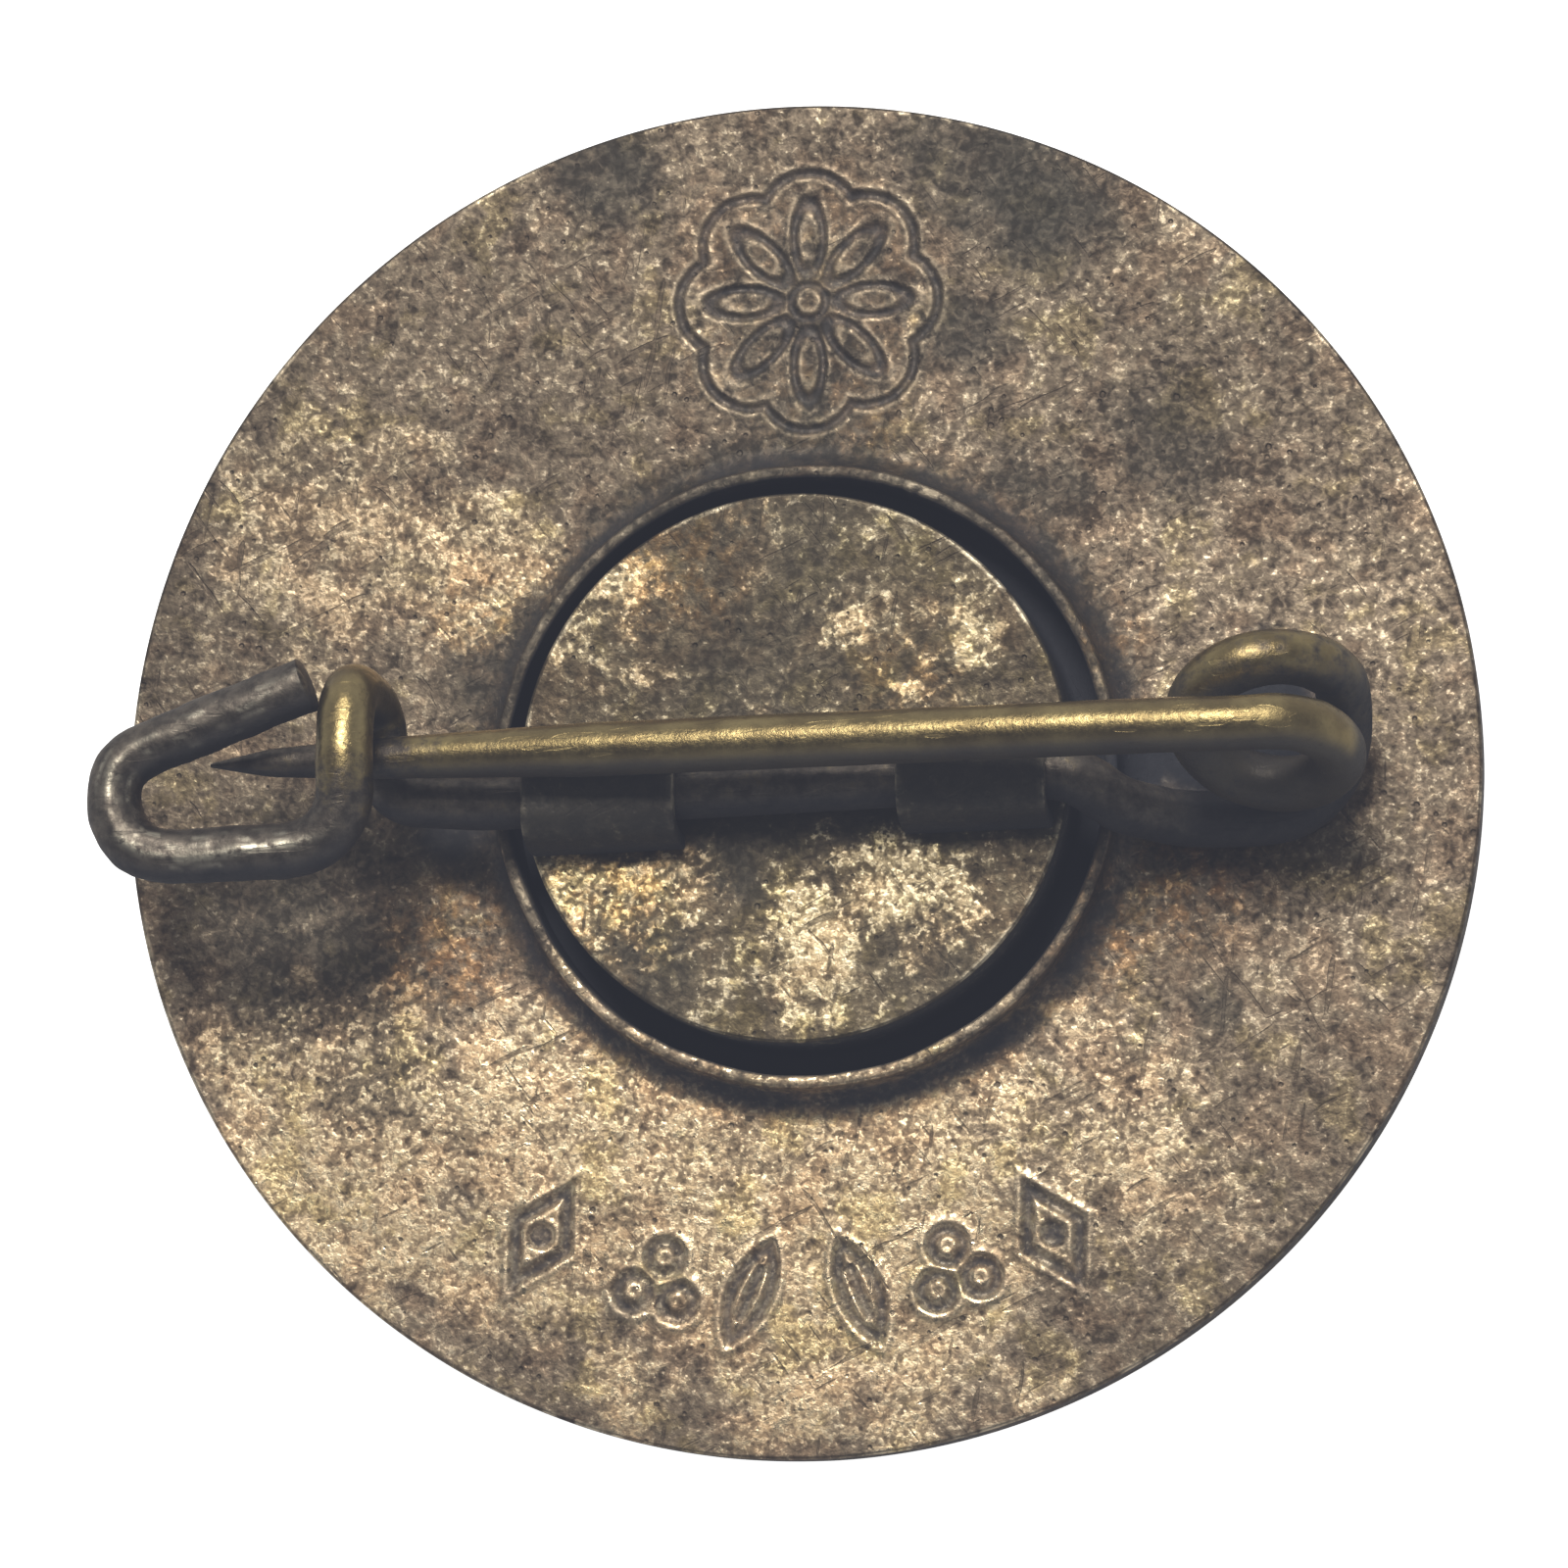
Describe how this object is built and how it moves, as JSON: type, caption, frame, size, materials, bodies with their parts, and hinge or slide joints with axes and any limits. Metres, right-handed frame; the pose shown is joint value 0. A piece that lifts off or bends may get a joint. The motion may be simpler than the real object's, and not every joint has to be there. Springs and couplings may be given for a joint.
{
  "type": "lapel badge",
  "caption": "Round enamelled lapel badge lying face down, with a collared back plate and a sprung wire brooch pin that hooks under a bent catch.",
  "frame": {"origin": "centre of the badge's front face, the flat boss it rests on when it lies face down", "axes": "+Z out of the badge's back, towards the pin; +X along the back from the catch to the spring coil; +Y is the top of the badge"},
  "size_m": [0.023, 0.023, 0.0061],
  "materials": {
    "shell_metal": "struck brass, worn plating",
    "ring_enamel": "fired enamel, glossy",
    "centre_enamel": "fired enamel, glossy",
    "back_metal": "tarnished silver plate, mottled and scratched",
    "centre_metal": "tarnished silver plate, mottled and scratched",
    "wire_metal": "dark worn plating on brass wire",
    "coil_metal": "olive brass wire, satin",
    "needle_metal": "olive brass wire, polished by use"
  },
  "bodies": {
    "badge": {"front_shell": "shell_metal", "enamel_ring": "ring_enamel", "enamel_centre": "centre_enamel", "back_plate": "back_metal", "centre_plate": "centre_metal", "base_wire": "wire_metal"},
    "coil": {"spring_coil": "coil_metal"},
    "pin": {"needle": "needle_metal"}
  },
  "joints": [
    {"name": "needle_release", "type": "hinge", "parent": "badge", "child": "coil", "pos_m": [0.00815, 0.00006, 0.0042], "axis": [0, 0, 1], "range_deg": [0, 12]},
    {"name": "needle_lift", "type": "hinge", "parent": "coil", "child": "pin", "pos_m": [0.00815, 0.00006, 0.0042], "axis": [0, 0.866, -0.5], "range_deg": [0, 60], "deforming": ["spring_coil"]}
  ]
}
